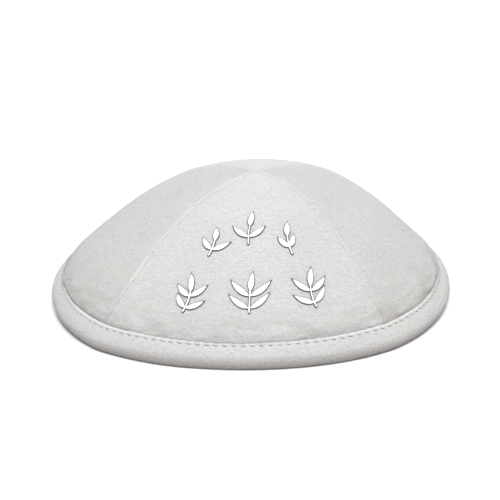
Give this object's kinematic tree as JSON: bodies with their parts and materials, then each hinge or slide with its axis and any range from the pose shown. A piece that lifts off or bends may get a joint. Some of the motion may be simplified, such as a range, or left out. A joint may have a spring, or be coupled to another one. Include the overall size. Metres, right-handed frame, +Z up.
{
  "type": "kippah skullcap",
  "caption": "Shallow domed skullcap of suede gores with a folded and stitched rim binding and small silver leaf ornaments on the front gore.",
  "frame": {"origin": "middle of the rim plane, the surface that the cap rests on", "axes": "+Z up through the crown, -Y towards the front gore with the ornaments, +X to the side that is on the right when the front is faced"},
  "size_m": [0.17, 0.17, 0.0574],
  "materials": {
    "suede": "soft matt white suede with a fine mottled nap",
    "binding": "soft matt white suede strip, folded",
    "thread": "matt white sewing thread",
    "silver": "bright satin silver with dark edges"
  },
  "bodies": {
    "root": {"panel_front": "suede", "panel_right": "suede", "panel_back": "suede", "panel_left": "suede", "rim_binding": "binding", "leaf_ornament_1": "silver", "leaf_ornament_2": "silver", "leaf_ornament_3": "silver", "leaf_ornament_4": "silver", "leaf_ornament_5": "silver", "leaf_ornament_6": "silver"}
  },
  "joints": []
}
